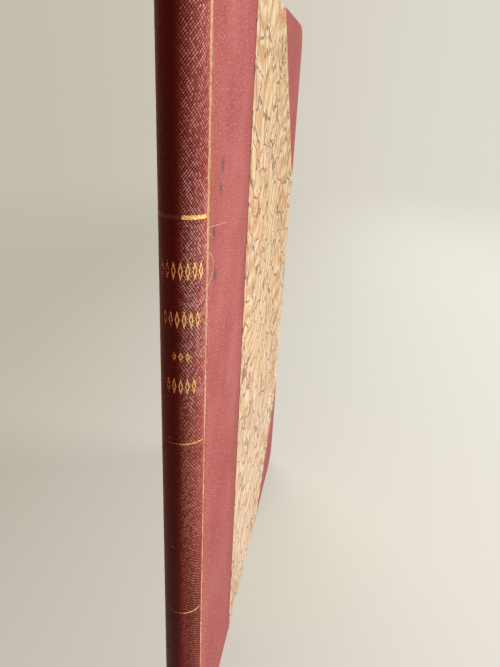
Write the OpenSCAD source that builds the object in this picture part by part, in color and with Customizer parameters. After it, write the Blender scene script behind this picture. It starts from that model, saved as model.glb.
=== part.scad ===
// Antique half-bound book: grained red covering on the spine and corners,
// marbled paper on the sides. It stands on its tail edge, spine towards -Y,
// front cover on the +X side. All sizes are millimetres.

/* [Covers] */
// Height of the covers, tail to head, over their covering
book_h = 240; // [170:1:320]
// Width of a cover, from the joint to the fore-edge
cover_w = 174; // [130:1:240]
// Thickness of the pasteboard
board_t = 2; // [1.4:0.1:3.5]
// Rounding of the board at its two fore-edge corners
board_corner_r = 10; // [2:0.5:12]
// How far the board's back edge stands off the joint line
board_setback = 0.3; // [0.2:0.1:1.5]

/* [Covering] */
// Thickness of the grained covering
cloth_t = 0.35; // [0.25:0.05:0.6]
// Thickness of the marbled paper
paper_t = 0.15; // [0.1:0.05:0.25]
// Width of the covering that the spine piece shows on each side
lap_w = 48; // [25:1:60]
// Leg of the triangle that a corner piece shows at the head
corner_head_leg = 70; // [40:1:75]
// Leg of the triangle that a corner piece shows at the tail
corner_tail_leg = 58; // [40:1:75]
// How far the marbled paper lies over the grained covering
paper_overlap = 2.5; // [1:0.5:5]
// Depth of the turn-ins on the inside of the boards and of the spine
turn_in = 15; // [8:1:22]

/* [Pages] */
// Thickness of the pages, pressed together
pages_t = 5; // [4:0.5:14]
// How far the boards stand out past the pages at head, tail and fore-edge
square_w = 3; // [1.5:0.5:5]
// Depth of the hollow along the fore-edge of the pages
fore_hollow = 1; // [0.3:0.1:1.8]
// Thickness of a flyleaf
flyleaf_t = 0.15; // [0.1:0.05:0.25]
// Thickness of a pastedown
pastedown_t = 0.15; // [0.1:0.05:0.25]
// Margin between a pastedown and the edges of its board
pastedown_margin = 4; // [3.5:0.5:8]
// Running gap between a closed cover and the flyleaf
cover_gap = 0.1; // [0.1:0.05:0.5]

/* [Spine] */
// How far the rounded spine stands out behind the joints
spine_rise = 4.7; // [2.5:0.1:5]
// Thickness of the stiff paper inlay behind the covering
inlay_t = 0.4; // [0.2:0.1:0.8]
// Hollow between the inlay and the lining of the pages
hollow_t = 0.6; // [0.6:0.1:1]
// Thickness of the paper lining glued over the mull
lining_t = 0.2; // [0.1:0.05:0.4]
// Thickness of the open-weave mull glued to the back of the pages
mull_t = 0.2; // [0.1:0.05:0.4]
// Distance from the head and the tail to the ends of the mull
mull_end = 20; // [16:1:35]
// Width of the mull that is pasted down on each board
mull_flange_w = 25; // [12:1:40]
// Gap between the spine covering and each cover at the joint
joint_gap = 0.2; // [0.2:0.05:0.5]
// Width of the bead of the head and tail bands
band_w = 0.9; // [0.5:0.1:1.6]
// Height of the bead of the head and tail bands
band_h = 1.3; // [0.8:0.1:2.2]
// Depth of the band's skirt, glued down the back of the pages
band_skirt = 10; // [4:1:14]

/* [Gilding] */
// Thickness of the gold film
gilt_t = 0.05; // [0.03:0.01:0.1]
// Height of the upper fillet above the tail
fillet_upper_z = 187.5; // [120:0.1:230]
// Height of the middle fillet above the tail
fillet_middle_z = 130.5; // [80:0.1:200]
// Height of the lower fillet above the tail
fillet_lower_z = 71; // [20:0.1:110]
// Width of the upper fillet
fillet_upper_w = 0.9; // [0.3:0.05:2]
// Width of the middle and lower fillets
fillet_thin_w = 0.35; // [0.2:0.05:1]
// Height of the first ornament row above the tail
row_1_z = 175.7; // [20:0.1:230]
// Height of the second ornament row above the tail
row_2_z = 164.2; // [20:0.1:230]
// Height of the third ornament row above the tail
row_3_z = 154.9; // [20:0.1:230]
// Height of the fourth ornament row above the tail
row_4_z = 147; // [20:0.1:230]
// Length of a long lozenge of the ornament
lozenge_h = 4.4; // [3:0.1:8]
// Width of a lozenge of the ornament
lozenge_w = 1.1; // [0.9:0.05:1.2]
// Width of the line that draws a lozenge
lozenge_line_w = 0.25; // [0.15:0.05:0.3]
// Length of a short lozenge of the ornament
lozenge_short_h = 2.4; // [2:0.1:4]
// Distance between lozenges, along the curve of the spine
lozenge_pitch = 1.6; // [1.3:0.05:1.7]
// Number of lozenges in the first row
row_1_count = 7; // [2:1:7]
// Number of lozenges in the second row
row_2_count = 6; // [2:1:7]
// Number of lozenges in the third row
row_3_count = 3; // [2:1:7]
// Number of lozenges in the fourth row
row_4_count = 5; // [2:1:7]
// Shift of the ornament towards the front cover, along the curve of the spine
ornament_shift = 0.7; // [0:0.1:1]

/* [Hidden] */
$fn = 96;

// Overrun of every cutting block past the faces that it cuts
over = 5;

// Both layers of covering, one over the other
skin_t = cloth_t + paper_t;

// Faces across the thickness of the front half, from the middle of the pages outwards
pages_x = pages_t / 2;
flyleaf_x = pages_x + flyleaf_t;
board_in_x = flyleaf_x + cover_gap + pastedown_t + skin_t;
board_out_x = board_in_x + board_t;
cloth_x = board_out_x + cloth_t;
book_x = board_out_x + skin_t;

// Rounded spine: an arc through both joints and the crown
spine_half = cloth_x - joint_gap;
spine_r = (spine_half * spine_half + spine_rise * spine_rise) / (2 * spine_rise);
spine_centre_y = spine_r - spine_rise;

// Layers of the spine, from the covering inwards
inlay_r = spine_r - cloth_t;
inlay_in_r = inlay_r - inlay_t;
lining_r = inlay_in_r - hollow_t;
mull_r = lining_r - lining_t;
pages_r = mull_r - mull_t;

// Height of the joint line across the book: y = 0 in the modules, ridge_y in the model
joint_edge = joint_gap / 2;
shoulder_y = -joint_edge;
ridge_y = -(cover_w - spine_rise - gilt_t) / 2;

// Pages between the squares
pages_z0 = square_w;
pages_z1 = book_h - square_w;
pages_fore_y = cover_w - square_w;

// Covering of the spine and the laps stops one paper thickness short of the full height
cloth_z0 = paper_t;
cloth_z1 = book_h - paper_t;

cloth_colour = [0.60, 0.23, 0.20];
marbled_colour = [0.86, 0.72, 0.58];
page_colour = [0.89, 0.83, 0.69];
endpaper_colour = [0.86, 0.80, 0.68];
board_colour = [0.64, 0.56, 0.44];
mull_colour = [0.86, 0.84, 0.77];
lining_colour = [0.73, 0.62, 0.46];
band_colour = [0.80, 0.74, 0.62];
gilt_colour = [0.85, 0.67, 0.30];

// Moves the joint line from y = 0 to its place in the model
module placed() translate([0, ridge_y, 0]) children();

// Draws children, a shape in the y-z plane, as a solid from x0 to x1
module through(x0, x1) translate([x0, 0, 0]) rotate([90, 0, 90]) linear_extrude(x1 - x0) children();

// Keeps what lies behind the joint line by at least the given gap
module behind(gap) {
    intersection() {
        children();
        translate([-spine_r - over, -spine_rise - over, -over])
            cube([2 * (spine_r + over), spine_rise + over - gap, book_h + 2 * over]);
    }
}

// Ring about the spine's axis
module ring(r_in, r_out, z0, z1) {
    translate([0, spine_centre_y, z0])
        difference() {
            cylinder(r = r_out, h = z1 - z0);
            translate([0, 0, -over]) cylinder(r = r_in, h = z1 - z0 + 2 * over);
        }
}

// Outline of a board in the y-z plane, grown by d on its three open edges
module board_outline(d, y0) {
    y1 = cover_w - skin_t + d;
    z0 = skin_t - d;
    z1 = book_h - skin_t + d;
    r = board_corner_r + d;
    translate([y0, z0]) square([y1 - r - y0, z1 - z0]);
    translate([y0, z0 + r]) square([y1 - y0, z1 - z0 - 2 * r]);
    for (z = [z0 + r, z1 - r]) translate([y1 - r, z]) circle(r);
}

// Part of a board's inner face that the turn-ins leave bare
module bare_outline(turn) {
    translate([-over, turn]) square([cover_w - turn + over, book_h - 2 * turn]);
}

// Front board grown by d on every side, but for what lies inside its turn-ins
module wrapped_block(d, turn) {
    difference() {
        through(board_in_x - d, board_out_x + d) board_outline(d, joint_edge);
        through(board_in_x - d - over, board_in_x + board_t / 2) bare_outline(turn);
    }
}

// Sheet of thickness d, wrapped round the front board and turned in by turn
module wrapped_sheet(d, turn) {
    difference() {
        wrapped_block(d, turn);
        through(board_in_x, board_out_x) board_outline(0, -over);
    }
}

// Region through the front cover, drawn as a shape in the y-z plane
module cover_region() through(0, book_x + over) children();

// Region of the lap, grown by d past its cut edge
module lap_outline(d) translate([-over, -over]) square([lap_w + d + over, book_h + 2 * over]);

// Region of a corner piece at the tail, grown by d past its slanting edge
module tail_triangle(leg, d) {
    reach = leg + d * sqrt(2);
    polygon([
        [cover_w - reach - over, -over],
        [cover_w + over, -over],
        [cover_w + over, reach + over]
    ]);
}

// Region of a corner piece at the head
module head_triangle(leg, d) translate([0, book_h]) mirror([0, 1]) tail_triangle(leg, d);

// Everything that the grained covering reaches on a board, grown by d
module covered_outline(d) {
    lap_outline(paper_overlap + d);
    head_triangle(corner_head_leg, paper_overlap + d);
    tail_triangle(corner_tail_leg, paper_overlap + d);
}

// Everything that the marbled paper reaches on a board, grown by d
module paper_outline(d) {
    difference() {
        translate([lap_w - d, -over]) square([cover_w - lap_w + d + over, book_h + 2 * over]);
        head_triangle(corner_head_leg, -d);
        tail_triangle(corner_tail_leg, -d);
    }
}

// Pasteboard of the front cover
module board() {
    color(board_colour) placed()
        through(board_in_x, board_out_x) board_outline(0, board_setback);
}

// Grained covering on the front board, cut to the given region
module covering_piece() {
    color(cloth_colour) placed()
        intersection() {
            wrapped_sheet(cloth_t, turn_in);
            cover_region() children();
        }
}

module lap() covering_piece() lap_outline(paper_overlap);
module corner_head() covering_piece() head_triangle(corner_head_leg, paper_overlap);
module corner_tail() covering_piece() tail_triangle(corner_tail_leg, paper_overlap);

// Marbled paper: it lies on the board and steps up over the edges of the grained covering
module side_paper() {
    color(marbled_colour) placed()
        difference() {
            intersection() {
                cover_region() paper_outline(0);
                union() {
                    wrapped_sheet(paper_t, turn_in);
                    intersection() {
                        wrapped_sheet(skin_t, turn_in);
                        cover_region() covered_outline(paper_t);
                    }
                }
            }
            intersection() {
                wrapped_block(cloth_t, turn_in + over);
                cover_region() covered_outline(0);
            }
        }
}

// What the covering fills on a board's inside, grown by d
module covering_stack(d) {
    intersection() {
        wrapped_block(cloth_t + d, turn_in + d);
        cover_region() covered_outline(d);
    }
    intersection() {
        wrapped_block(paper_t + d, turn_in + d);
        cover_region() paper_outline(d);
    }
    intersection() {
        wrapped_block(skin_t + d, turn_in + d);
        cover_region() paper_outline(d);
        cover_region() covered_outline(paper_t + d);
    }
}

// What the mull fills on a board's inside, grown by d and carried on into the board
module mull_block(d) {
    translate([board_in_x - mull_t - d, -over, mull_end - d])
        cube([
            mull_t + d + board_t / 2,
            mull_flange_w + d + over,
            book_h - 2 * (mull_end - d)
        ]);
}

// Part of a board's inside that lies within the given margins, from its back edge on
module inside_face(y_margin, z_margin) {
    through(0, board_in_x)
        translate([board_setback, z_margin])
            square([cover_w - y_margin - board_setback, book_h - 2 * z_margin]);
}

// Mull pasted on the inside of the front board
module mull_flange() {
    color(mull_colour) placed()
        intersection() {
            mull_block(0);
            inside_face(0, 0);
        }
}

// Pastedown on the inside of the front board, up over the turn-ins and the mull
module pastedown() {
    color(endpaper_colour) placed()
        difference() {
            intersection() {
                inside_face(pastedown_margin, pastedown_margin);
                union() {
                    through(board_in_x - pastedown_t, board_out_x)
                        translate([-over, -over]) square([cover_w + 2 * over, book_h + 2 * over]);
                    mull_block(pastedown_t);
                    covering_stack(pastedown_t);
                }
            }
            mull_block(0);
            covering_stack(0);
        }
}

// Sewn pages: rounded and backed at the spine, hollow along the fore-edge
module text_block() {
    hollow_r = (pages_x * pages_x + fore_hollow * fore_hollow) / (2 * fore_hollow);
    color(page_colour) placed()
        translate([0, 0, pages_z0]) linear_extrude(pages_z1 - pages_z0)
            union() {
                difference() {
                    translate([-pages_x, shoulder_y]) square([pages_t, pages_fore_y - shoulder_y]);
                    translate([0, pages_fore_y - fore_hollow + hollow_r]) circle(hollow_r);
                }
                intersection() {
                    translate([0, spine_centre_y]) circle(pages_r);
                    translate([-spine_r, -spine_rise])
                        square([2 * spine_r, spine_rise + shoulder_y]);
                }
            }
}

// Flyleaf against the front of the pages
module flyleaf() {
    color(endpaper_colour) placed()
        translate([pages_x, 0, pages_z0])
            cube([flyleaf_t, pages_fore_y, pages_z1 - pages_z0]);
}

// Mull round the back of the pages
module spine_mull() {
    color(mull_colour) placed()
        behind(joint_edge) ring(pages_r, mull_r, mull_end, book_h - mull_end);
}

// Paper lining over the mull and the skirts of the bands
module spine_lining() {
    color(lining_colour) placed()
        behind(2 * joint_edge) ring(mull_r, lining_r, pages_z0, pages_z1);
}

// Band at the head: a bead on the edge of the pages with a skirt down their back
module band() {
    rim = band_w / 2;
    color(band_colour) placed() behind(3 * joint_edge)
        translate([0, spine_centre_y, pages_z1]) rotate_extrude()
            union() {
                translate([pages_r - band_w, 0]) square([band_w, band_h - rim]);
                translate([pages_r - rim, band_h - rim]) circle(rim);
                translate([pages_r, -band_skirt]) square([mull_t, band_skirt + band_h - rim]);
            }
}

// Stiff paper inlay inside the covering of the spine
module spine_inlay() {
    color(lining_colour) placed()
        behind(3 * joint_edge) ring(inlay_in_r, inlay_r, skin_t, book_h - skin_t);
}

// Grained covering of the spine, turned in over both ends of the inlay
module spine_covering() {
    color(cloth_colour) placed() behind(joint_edge)
        translate([0, spine_centre_y, 0]) rotate_extrude()
            polygon([
                [spine_r, cloth_z0],
                [spine_r, cloth_z1],
                [inlay_in_r - cloth_t, cloth_z1],
                [inlay_in_r - cloth_t, book_h - turn_in],
                [inlay_in_r, book_h - turn_in],
                [inlay_in_r, book_h - skin_t],
                [inlay_r, book_h - skin_t],
                [inlay_r, skin_t],
                [inlay_in_r, skin_t],
                [inlay_in_r, turn_in],
                [inlay_in_r - cloth_t, turn_in],
                [inlay_in_r - cloth_t, cloth_z0]
            ]);
}

// Gold fillet across the spine
module gilt_fillet(z, w) {
    color(gilt_colour) placed()
        behind(joint_edge) ring(spine_r, spine_r + gilt_t, z - w / 2, z + w / 2);
}

// Lozenge of the given size about the middle
module lozenge(wide, tall) {
    polygon([[-wide / 2, 0], [0, -tall / 2], [wide / 2, 0], [0, tall / 2]]);
}

// Lozenge drawn as a line: the inner edges run parallel to the outer ones
module lozenge_line(wide, tall) {
    side = sqrt(wide * wide + tall * tall);
    difference() {
        lozenge(wide, tall);
        lozenge(wide - 2 * lozenge_line_w * side / tall, tall - 2 * lozenge_line_w * side / wide);
    }
}

// Angle about the spine's axis of a place at the given distance along its curve
function arc_angle(along) = along / spine_r * 180 / PI;

// Row of gold lozenges across the spine
module gilt_row(z, count, tall) {
    color(gilt_colour) placed()
        intersection() {
            behind(joint_edge) ring(spine_r, spine_r + gilt_t, z - tall, z + tall);
            for (i = [0 : count - 1])
                translate([0, spine_centre_y, z])
                    rotate([0, 0, arc_angle(ornament_shift + (i - (count - 1) / 2) * lozenge_pitch)])
                        rotate([90, 0, 0]) linear_extrude(spine_r + over)
                            lozenge_line(lozenge_w, tall);
        }
}

// The back half mirrors the front half
module mirrored() mirror([1, 0, 0]) children();

text_block();
flyleaf();  // front_flyleaf
mirrored() flyleaf();  // back_flyleaf
spine_mull();
spine_lining();
band();  // head_band
translate([0, 0, book_h]) mirror([0, 0, 1]) band();  // tail_band
spine_inlay();
spine_covering();
gilt_fillet(fillet_upper_z, fillet_upper_w);  // gilt_fillet_upper
gilt_fillet(fillet_middle_z, fillet_thin_w);  // gilt_fillet_middle
gilt_fillet(fillet_lower_z, fillet_thin_w);  // gilt_fillet_lower
gilt_row(row_1_z, row_1_count, lozenge_h);  // gilt_row_1
gilt_row(row_2_z, row_2_count, lozenge_h);  // gilt_row_2
gilt_row(row_3_z, row_3_count, lozenge_short_h);  // gilt_row_3
gilt_row(row_4_z, row_4_count, lozenge_h);  // gilt_row_4
board();  // front_board
lap();  // front_lap
corner_head();  // front_corner_head
corner_tail();  // front_corner_tail
side_paper();  // front_side_paper
mull_flange();  // front_mull_flange
pastedown();  // front_pastedown
mirrored() board();  // back_board
mirrored() lap();  // back_lap
mirrored() corner_head();  // back_corner_head
mirrored() corner_tail();  // back_corner_tail
mirrored() side_paper();  // back_side_paper
mirrored() mull_flange();  // back_mull_flange
mirrored() pastedown();  // back_pastedown
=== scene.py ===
"""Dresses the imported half-bound book: grained covering, marbled sides, gilt spine, sewn leaves."""
import math
import random

import bmesh
import bpy
from mathutils import Matrix, Vector


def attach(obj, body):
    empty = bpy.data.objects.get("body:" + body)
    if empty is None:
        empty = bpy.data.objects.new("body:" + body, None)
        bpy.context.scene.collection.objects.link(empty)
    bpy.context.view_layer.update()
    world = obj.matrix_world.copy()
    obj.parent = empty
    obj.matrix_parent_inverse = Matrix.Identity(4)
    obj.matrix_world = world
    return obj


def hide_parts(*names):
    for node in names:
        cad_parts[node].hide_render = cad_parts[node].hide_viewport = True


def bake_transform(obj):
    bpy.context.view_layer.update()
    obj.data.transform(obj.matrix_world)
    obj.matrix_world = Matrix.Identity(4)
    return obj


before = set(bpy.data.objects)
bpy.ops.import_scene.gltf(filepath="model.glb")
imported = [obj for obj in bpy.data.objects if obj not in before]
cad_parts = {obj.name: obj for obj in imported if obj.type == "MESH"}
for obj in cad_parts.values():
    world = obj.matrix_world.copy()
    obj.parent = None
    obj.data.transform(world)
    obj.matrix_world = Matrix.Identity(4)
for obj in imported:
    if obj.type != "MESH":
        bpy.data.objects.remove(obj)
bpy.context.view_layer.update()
CHANCE = random.Random(1887)

# Sizes of the book, in metres, as the model has them
MM = 0.001
BOOK_H = 240 * MM
COVER_W = 174 * MM
BOARD_CORNER_R = 10 * MM
CLOTH_T = 0.35 * MM
PAPER_T = 0.15 * MM
SKIN_T = CLOTH_T + PAPER_T
LAP_W = 48 * MM
CORNER_HEAD_LEG = 70 * MM
CORNER_TAIL_LEG = 58 * MM
PAPER_OVERLAP = 2.5 * MM
TURN_IN = 15 * MM
BOARD_IN_X = 3.4 * MM
BOARD_OUT_X = 5.4 * MM
JOINT_X = 5.75 * MM
JOINT_Y = -84.625 * MM
JOINT_EDGE = 0.1 * MM
FORE_Y = JOINT_Y + COVER_W
SPINE_R = 5.627 * MM
SPINE_Y = JOINT_Y + 0.927 * MM
SPINE_TURN_R = 4.527 * MM
SPINE_ANGLE = math.radians(79.5)
PAGES_X = 2.5 * MM
PAGES_BACK_X = 3.6 * MM
PAGES_R = 3.877 * MM
PAGES_TAIL = 3 * MM
PAGES_HEAD = 237 * MM
PAGES_FORE = FORE_Y - 3 * MM
FORE_HOLLOW = 1 * MM
BAND_W = 0.9 * MM
LEAVES = 46
SECTION_LEAVES = 8
CLOTH_ROUNDING = 0.45 * MM
PAPER_ROUNDING = 0.3 * MM
CLOSE = 0.01 * MM


def tint(red, green, blue):
    """A colour given as it shows on a screen, from 0 to 255"""
    shown = (red / 255, green / 255, blue / 255)
    return tuple(((c + 0.055) / 1.055) ** 2.4 if c > 0.04 else c / 12.92 for c in shown) + (1.0,)


# Node wiring


class Wiring:
    """Adds nodes to one node tree, and joins them; patterns lie at its place, or at another"""

    def __init__(self, tree):
        self.tree = tree
        self.shader = tree.nodes.get("Principled BSDF")
        self.material = None
        self.place = None
        self.given = None
        self.colour = None

    def node(self, kind, fed=(), **settings):
        """A node with its settings, and what its inputs are fed by name or number"""
        made = self.tree.nodes.new("ShaderNode" + kind)
        for name, value in settings.items():
            setattr(made, name, value)
        for name, value in dict(fed).items():
            self.feed(made.inputs[name], value)
        return made

    def feed(self, socket, value):
        """Joins an output to a socket, or sets it: a colour of three numbers is a shown one"""
        if isinstance(value, bpy.types.NodeSocket):
            self.tree.links.new(value, socket)
        elif socket.type == "RGBA" and value is not None and len(value) == 3:
            socket.default_value = tint(*value)
        elif value is not None:
            socket.default_value = value

    def give(self, name, value):
        """Feeds the shader's own socket of that name"""
        self.feed(self.shader.inputs[name], value)

    def place_or(self, at):
        return self.place if at is None else at

    def math(self, operation, first, second=None, third=None):
        return self.node("Math", {0: first, 1: second, 2: third}, operation=operation).outputs[0]

    def times(self, first, second):
        return self.math("MULTIPLY", first, second)

    def plus(self, first, second):
        return self.math("ADD", first, second)

    def minus(self, first, second):
        return self.math("SUBTRACT", first, second)

    def least(self, first, second):
        return self.math("MINIMUM", first, second)

    def most(self, *values):
        """The largest of several values at each place"""
        whole = values[0]
        for value in values[1:]:
            whole = self.math("MAXIMUM", whole, value)
        return whole

    def vector(self, operation, first, second=None, scale=None):
        fed = {0: first, 1: second} if scale is None else {0: first, "Scale": scale}
        made = self.node("VectorMath", fed, operation=operation)
        number = operation in ("LENGTH", "DISTANCE", "DOT_PRODUCT")
        return made.outputs["Value" if number else "Vector"]

    def split(self, at=None):
        return tuple(self.node("SeparateXYZ", {0: self.place_or(at)}).outputs)

    def join(self, x, y, z):
        return self.node("CombineXYZ", {0: x, 1: y, 2: z}).outputs[0]

    def scaled(self, scale, angle=(0, 0, 0), at=None):
        fed = {"Vector": self.place_or(at), "Rotation": angle, "Scale": scale}
        return self.node("Mapping", fed).outputs[0]

    def step(self, value, low, high, bottom=0.0, top=1.0):
        """Goes smoothly from bottom to top as value goes from low to high"""
        fed = {"Value": value, "From Min": low, "From Max": high, "To Min": bottom, "To Max": top}
        return self.node("MapRange", fed, interpolation_type="SMOOTHSTEP").outputs["Result"]

    def fall(self, value, low, high, top=1.0):
        """Goes smoothly from top down to nothing as value goes from low to high"""
        return self.step(value, low, high, top, 0.0)

    def mix(self, share, first, second):
        """Two colours mixed, each an output, or as it shows on a screen, from 0 to 255"""
        fed = {"Factor": share, 6: first, 7: second}
        return self.node("Mix", fed, data_type="RGBA").outputs[2]

    def lay(self, share, paint, part=1.0):
        """Lays a share of paint over the colour so far, or only part of that share"""
        if part < 1.0:
            share = self.times(share, part)
        self.colour = self.mix(share, self.colour, paint)

    def noise(self, scale, detail=2.0, rough=0.5, output="Fac", at=None):
        fed = {"Vector": self.place_or(at), "Scale": scale, "Detail": detail, "Roughness": rough}
        return self.node("TexNoise", fed).outputs[output]

    def cells(self, scale, feature="F1", loose=1.0, flat=False, at=None):
        fed = {"Vector": self.place_or(at), "Scale": scale, "Randomness": loose}
        size = "2D" if flat else "3D"
        return self.node("TexVoronoi", fed, feature=feature, voronoi_dimensions=size).outputs

    def warped(self, scale, reach, detail=2.0, at=None):
        """Place pushed about by noise, by up to about half of reach"""
        push = self.noise(scale, detail, output="Color", at=at)
        push = self.vector("SUBTRACT", push, (0.5, 0.5, 0.5))
        return self.vector("ADD", self.place_or(at), self.vector("SCALE", push, scale=reach))

    def bump(self, height, distance, strength=1.0, under=None):
        fed = {"Strength": strength, "Distance": distance, "Height": height, "Normal": under}
        return self.node("Bump", fed).outputs[0]

    def seen(self):
        """One for what the camera sees, also by way of metal and glass"""
        rays = self.node("LightPath").outputs
        return self.most(rays["Is Camera Ray"], rays["Is Glossy Ray"], rays["Is Transmission Ray"])

    def use(self, effect, **values):
        """Outputs of an effect, which reads this wiring's place unless another is given"""
        fed = {"Place": self.place}
        for name, value in values.items():
            fed[name.capitalize()] = value
        return self.node("Group", fed, node_tree=effect).outputs

    def finish(self, relief):
        """Ends a finish: gives the shader the colour so far, and its relief"""
        self.give("Base Color", self.colour)
        self.give("Normal", relief)
        return self.material

    def results(self, **values):
        """Ends an effect: gives it its outputs and returns its node group"""
        end = self.tree.nodes.new("NodeGroupOutput")
        for label, value in values.items():
            kind = "NodeSocketColor" if label == "Colour" else "NodeSocketFloat"
            self.tree.interface.new_socket(label, in_out="OUTPUT", socket_type=kind)
            self.feed(end.inputs[label], value)
        return self.tree


def new_finish(name, rough=0.6, shine=0.4):
    """Wiring of a new material that reads the object's own coordinates"""
    material = bpy.data.materials.new(name)
    material.use_nodes = True
    w = Wiring(material.node_tree)
    w.material = material
    w.give("Roughness", rough)
    w.give("Specular IOR Level", shine)
    w.place = w.node("TexCoord").outputs["Object"]
    return w


def new_effect(name, **settings):
    """A node group that reads a place and some numbers, with its wiring"""
    group = bpy.data.node_groups.new(name, "ShaderNodeTree")
    group.interface.new_socket("Place", in_out="INPUT", socket_type="NodeSocketVector")
    for word, value in settings.items():
        label = word.capitalize()
        socket = group.interface.new_socket(label, in_out="INPUT", socket_type="NodeSocketFloat")
        socket.default_value = value
    w = Wiring(group)
    w.given = group.nodes.new("NodeGroupInput").outputs
    w.place = w.given["Place"]
    return w


# Effects that several finishes use


def make_bead_grain():
    """Slanting rows of small pressed beads: height, tops and a tone for each bead"""
    w = new_effect("bead grain", fineness=1.0)
    drawn = w.warped(1500, 0.00022, at=w.warped(170, 0.0005))
    drawn = w.vector("SCALE", drawn, scale=w.given["Fineness"])

    def count_along(per_metre):
        return w.vector("DOT_PRODUCT", drawn, per_metre)

    def waves(count):
        return w.math("COSINE", w.times(count, 2 * math.pi))

    falling = count_along((1487, -1231, 0))
    rising = count_along((1154, 769, 0))
    ribs = waves(falling)
    breaks = waves(rising)
    rows = waves(count_along((800, 980, 0)))
    low = w.fall(w.split()[1], 0.07, 0.13)
    mound = w.times(ribs, w.step(low, 0.0, 1.0, 0.6, 0.3))
    mound = w.math("MULTIPLY_ADD", breaks, w.step(low, 0.0, 1.0, 0.4, 0.15), mound)
    mound = w.math("MULTIPLY_ADD", rows, w.step(low, 0.0, 1.0, 0.0, 0.55), mound)
    beads = w.cells(1.0, loose=0.0, flat=True, at=w.join(falling, rising, 0.0))
    tone = w.split(beads["Color"])[0]
    mound = w.plus(mound, w.math("MULTIPLY_ADD", tone, 0.5, -0.25))
    dome = w.step(mound, -0.45, 0.85)
    fine = w.noise(5200, 3.0)
    height = w.math("MULTIPLY_ADD", fine, 0.15, dome)
    return w.results(Height=height, Tops=w.step(dome, 0.4, 0.85), Tone=tone)


def make_soiling():
    """Blotches of handling dirt, as many in a metre as asked for, and small dark specks"""
    w = new_effect("soiling", blotches=30.0)
    wide = w.vector("SCALE", w.place, scale=w.given["Blotches"])
    cloud = w.noise(1.0, 5.0, 0.62, at=wide)
    dots = w.cells(210, at=w.warped(900, 0.0006))["Distance"]
    there = w.step(w.noise(47, 2.0), 0.5, 0.68)
    speck = w.times(w.fall(dots, 0.06, 0.15), there)
    return w.results(Blotch=w.step(cloud, 0.52, 0.74), Speck=speck, Cloud=cloud)


def make_rubbed_edges():
    """Wear along the outer edges of a cover, widest at its two fore-edge corners"""
    w = new_effect("rubbed edges", width=0.0009)
    x, y, z = w.split()
    from_head = w.minus(BOOK_H, z)
    from_end = w.least(z, from_head)
    from_fore = w.minus(FORE_Y, y)
    from_rim = w.least(from_end, from_fore)
    from_side = w.minus(BOARD_OUT_X + SKIN_T, w.math("ABSOLUTE", x))
    from_arris = w.most(from_rim, from_side)
    from_corner = w.plus(w.most(from_end, 0.0), from_fore)
    wider = w.fall(from_corner, 0.004, 0.03, 0.0022)
    grit = w.noise(420, 5.0, 0.7)
    reach = w.times(w.plus(w.given["Width"], wider), w.step(grit, 0.3, 0.75))
    gap = w.minus(from_arris, reach)
    return w.results(Rubbed=w.fall(gap, -0.0002, 0.0003))


def make_paper_fibre():
    """Felted fibres of old paper: a fine height and a soft tone"""
    w = new_effect("paper fibre")
    long_way = w.noise(1300, 3.0, 0.6, at=w.scaled((3, 3, 0.8)))
    cross_way = w.noise(1100, 3.0, 0.6, at=w.scaled((3, 0.8, 3)))
    tone = w.noise(260, 4.0, 0.6)
    return w.results(Height=w.most(long_way, cross_way), Tone=tone)


def spine_place(w):
    """Place unrolled from the round of the spine: length along the curve, height"""
    x, y, z = w.split()
    back = w.minus(SPINE_Y, y)
    along = w.times(w.math("ARCTAN2", x, back), SPINE_R)
    return along, z, w.join(along, z, 0.0)


def cover_place(w):
    """Place on a cover, laid flat over its edges"""
    x, y, z = w.split()
    return w.join(w.minus(y, x), w.minus(z, x), 0.0)


def spots(w, soft, *places):
    """Ragged spots, each given by its x, its y from the joint, its z and its reach"""
    masks = []
    for x, y, z, reach in places:
        ragged = w.warped(1500, reach * 1.4, 3.0)
        away = w.vector("DISTANCE", ragged, (x, JOINT_Y + y, z))
        masks.append(w.fall(away, reach * soft, reach))
    return w.most(*masks)


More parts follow.
